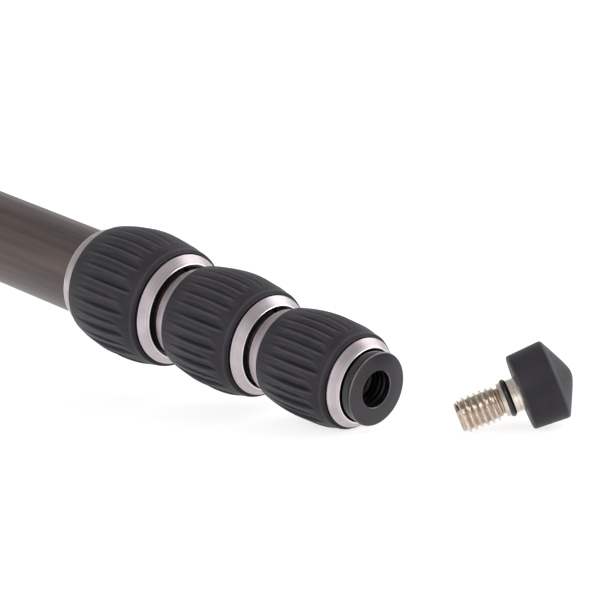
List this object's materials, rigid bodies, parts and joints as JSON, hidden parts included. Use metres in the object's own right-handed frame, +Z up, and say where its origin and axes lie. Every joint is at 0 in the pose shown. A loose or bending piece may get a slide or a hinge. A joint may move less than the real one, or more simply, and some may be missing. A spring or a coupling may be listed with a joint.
{
  "type": "camera tripod",
  "caption": "Low-standing four-section camera tripod with twist-lock legs, short centre column and screw-in rubber feet, one of them taken off.",
  "frame": {"origin": "centre of the head plate's top face, on the head stud's axis", "axes": "+Z up along the centre column; +X over leg A, the leg whose foot is off"},
  "size_m": [0.7709, 0.8536, 0.1493],
  "materials": {
    "carbon_tube": "clear-coated carbon fibre",
    "grip_rubber": "matte moulded rubber",
    "turned_aluminium": "fine turned, clear anodised",
    "black_aluminium": "black anodised",
    "foot_steel": "nickel plated",
    "bush_plastic": "moulded acetal",
    "vial_glass": "clear"
  },
  "bodies": {
    "hub": {"crown": "black_aluminium", "pivot_bolts": "foot_steel", "level_vial": "vial_glass"},
    "column": {"column_tube": "carbon_tube", "head_plate": "black_aluminium", "head_stud": "foot_steel", "column_end": "black_aluminium", "ballast_hook": "foot_steel"},
    "column_lock": {"column_collar": "turned_aluminium", "column_sleeve": "grip_rubber"},
    "leg_a": {"leg_a_shoulder": "black_aluminium", "leg_a_tube_1": "carbon_tube", "leg_a_bush_1": "bush_plastic"},
    "stop_a": {"leg_a_stop": "turned_aluminium"},
    "section_a2": {"leg_a_tube_2": "carbon_tube", "leg_a_bush_2": "bush_plastic"},
    "section_a3": {"leg_a_tube_3": "carbon_tube", "leg_a_bush_3": "bush_plastic"},
    "section_a4": {"leg_a_tube_4": "carbon_tube", "leg_a_bush_4": "bush_plastic", "leg_a_socket": "black_aluminium"},
    "lock_a1": {"leg_a_collar_1": "turned_aluminium", "leg_a_sleeve_1": "grip_rubber"},
    "lock_a2": {"leg_a_collar_2": "turned_aluminium", "leg_a_sleeve_2": "grip_rubber"},
    "lock_a3": {"leg_a_collar_3": "turned_aluminium", "leg_a_sleeve_3": "grip_rubber"},
    "foot_a": {"foot_a_stud": "foot_steel", "foot_a_pad": "grip_rubber", "foot_a_seal": "grip_rubber"},
    "leg_b": {"leg_b_shoulder": "black_aluminium", "leg_b_tube_1": "carbon_tube"},
    "stop_b": {"leg_b_stop": "turned_aluminium"},
    "section_b2": {"leg_b_tube_2": "carbon_tube"},
    "section_b3": {"leg_b_tube_3": "carbon_tube"},
    "section_b4": {"leg_b_tube_4": "carbon_tube", "leg_b_socket": "black_aluminium"},
    "lock_b1": {"leg_b_collar_1": "turned_aluminium", "leg_b_sleeve_1": "grip_rubber"},
    "lock_b2": {"leg_b_collar_2": "turned_aluminium", "leg_b_sleeve_2": "grip_rubber"},
    "lock_b3": {"leg_b_collar_3": "turned_aluminium", "leg_b_sleeve_3": "grip_rubber"},
    "foot_b": {"foot_b_stud": "foot_steel", "foot_b_pad": "grip_rubber"},
    "leg_c": {"leg_c_shoulder": "black_aluminium", "leg_c_tube_1": "carbon_tube"},
    "stop_c": {"leg_c_stop": "turned_aluminium"},
    "section_c2": {"leg_c_tube_2": "carbon_tube"},
    "section_c3": {"leg_c_tube_3": "carbon_tube"},
    "section_c4": {"leg_c_tube_4": "carbon_tube", "leg_c_socket": "black_aluminium"},
    "lock_c1": {"leg_c_collar_1": "turned_aluminium", "leg_c_sleeve_1": "grip_rubber"},
    "lock_c2": {"leg_c_collar_2": "turned_aluminium", "leg_c_sleeve_2": "grip_rubber"},
    "lock_c3": {"leg_c_collar_3": "turned_aluminium", "leg_c_sleeve_3": "grip_rubber"},
    "foot_c": {"foot_c_stud": "foot_steel", "foot_c_pad": "grip_rubber"}
  },
  "joints": [
    {"name": "column_slide", "type": "slide", "parent": "hub", "child": "column", "axis": [0, 0, 1], "range_m": [0, 0.044]},
    {"name": "column_lock_twist", "type": "hinge", "parent": "hub", "child": "column_lock", "pos_m": [0, 0, -0.0242], "axis": [0, 0, 1], "range_deg": [0, 120]},
    {"name": "leg_a_swing", "type": "hinge", "parent": "hub", "child": "leg_a", "pos_m": [0.033, 0, -0.05], "axis": [0, -1, 0], "range_deg": [-79.94, 0]},
    {"name": "stop_a_pull", "type": "slide", "parent": "leg_a", "child": "stop_a", "axis": [0.9846, 0, -0.1746], "range_m": [0, 0.004], "stiffness_N_per_m": 800, "springref_m": -0.002},
    {"name": "lock_a1_twist", "type": "hinge", "parent": "leg_a", "child": "lock_a1", "pos_m": [0.38742, 0, -0.11285], "axis": [0.9846, 0, -0.1746], "range_deg": [0, 120]},
    {"name": "lock_a2_twist", "type": "hinge", "parent": "section_a2", "child": "lock_a2", "pos_m": [0.42287, 0, -0.11913], "axis": [0.9846, 0, -0.1746], "range_deg": [0, 120]},
    {"name": "lock_a3_twist", "type": "hinge", "parent": "section_a3", "child": "lock_a3", "pos_m": [0.45713, 0, -0.12521], "axis": [0.9846, 0, -0.1746], "range_deg": [0, 120]},
    {"name": "section_a2_slide", "type": "slide", "parent": "leg_a", "child": "section_a2", "axis": [0.9846, 0, -0.1746], "range_m": [0, 0.2968]},
    {"name": "section_a3_slide", "type": "slide", "parent": "section_a2", "child": "section_a3", "axis": [0.9846, 0, -0.1746], "range_m": [0, 0.3279]},
    {"name": "section_a4_slide", "type": "slide", "parent": "section_a3", "child": "section_a4", "axis": [0.9846, 0, -0.1746], "range_m": [0, 0.3584]},
    {"name": "foot_a_lift", "type": "slide", "parent": "section_a4", "child": "foot_a", "axis": [0, 0, 1], "range_m": [0, 0.06]},
    {"name": "leg_b_swing", "type": "hinge", "parent": "hub", "child": "leg_b", "pos_m": [-0.0165, 0.02858, -0.05], "axis": [0.866, 0.5, 0], "range_deg": [-80, 0]},
    {"name": "stop_b_pull", "type": "slide", "parent": "leg_b", "child": "stop_b", "axis": [-0.4924, 0.8529, -0.1736], "range_m": [0, 0.004], "stiffness_N_per_m": 800, "springref_m": -0.002},
    {"name": "lock_b1_twist", "type": "hinge", "parent": "leg_b", "child": "lock_b1", "pos_m": [-0.19374, 0.33557, -0.1125], "axis": [-0.4924, 0.8529, -0.1736], "range_deg": [0, 120]},
    {"name": "lock_b2_twist", "type": "hinge", "parent": "section_b2", "child": "lock_b2", "pos_m": [-0.21147, 0.36627, -0.11876], "axis": [-0.4924, 0.8529, -0.1736], "range_deg": [0, 120]},
    {"name": "lock_b3_twist", "type": "hinge", "parent": "section_b3", "child": "lock_b3", "pos_m": [-0.2286, 0.39595, -0.1248], "axis": [-0.4924, 0.8529, -0.1736], "range_deg": [0, 120]},
    {"name": "section_b2_slide", "type": "slide", "parent": "leg_b", "child": "section_b2", "axis": [-0.4924, 0.8529, -0.1736], "range_m": [0, 0.2968]},
    {"name": "section_b3_slide", "type": "slide", "parent": "section_b2", "child": "section_b3", "axis": [-0.4924, 0.8529, -0.1736], "range_m": [0, 0.3279]},
    {"name": "section_b4_slide", "type": "slide", "parent": "section_b3", "child": "section_b4", "axis": [-0.4924, 0.8529, -0.1736], "range_m": [0, 0.3584]},
    {"name": "foot_b_unscrew", "type": "slide", "parent": "section_b4", "child": "foot_b", "axis": [-0.4924, 0.8529, -0.1736], "range_m": [0, 0.03]},
    {"name": "leg_c_swing", "type": "hinge", "parent": "hub", "child": "leg_c", "pos_m": [-0.0165, -0.02858, -0.05], "axis": [-0.866, 0.5, 0], "range_deg": [-80, 0]},
    {"name": "stop_c_pull", "type": "slide", "parent": "leg_c", "child": "stop_c", "axis": [-0.4924, -0.8529, -0.1736], "range_m": [0, 0.004], "stiffness_N_per_m": 800, "springref_m": -0.002},
    {"name": "lock_c1_twist", "type": "hinge", "parent": "leg_c", "child": "lock_c1", "pos_m": [-0.19374, -0.33557, -0.1125], "axis": [-0.4924, -0.8529, -0.1736], "range_deg": [0, 120]},
    {"name": "lock_c2_twist", "type": "hinge", "parent": "section_c2", "child": "lock_c2", "pos_m": [-0.21147, -0.36627, -0.11876], "axis": [-0.4924, -0.8529, -0.1736], "range_deg": [0, 120]},
    {"name": "lock_c3_twist", "type": "hinge", "parent": "section_c3", "child": "lock_c3", "pos_m": [-0.2286, -0.39595, -0.1248], "axis": [-0.4924, -0.8529, -0.1736], "range_deg": [0, 120]},
    {"name": "section_c2_slide", "type": "slide", "parent": "leg_c", "child": "section_c2", "axis": [-0.4924, -0.8529, -0.1736], "range_m": [0, 0.2968]},
    {"name": "section_c3_slide", "type": "slide", "parent": "section_c2", "child": "section_c3", "axis": [-0.4924, -0.8529, -0.1736], "range_m": [0, 0.3279]},
    {"name": "section_c4_slide", "type": "slide", "parent": "section_c3", "child": "section_c4", "axis": [-0.4924, -0.8529, -0.1736], "range_m": [0, 0.3584]},
    {"name": "foot_c_unscrew", "type": "slide", "parent": "section_c4", "child": "foot_c", "axis": [-0.4924, -0.8529, -0.1736], "range_m": [0, 0.03]}
  ]
}
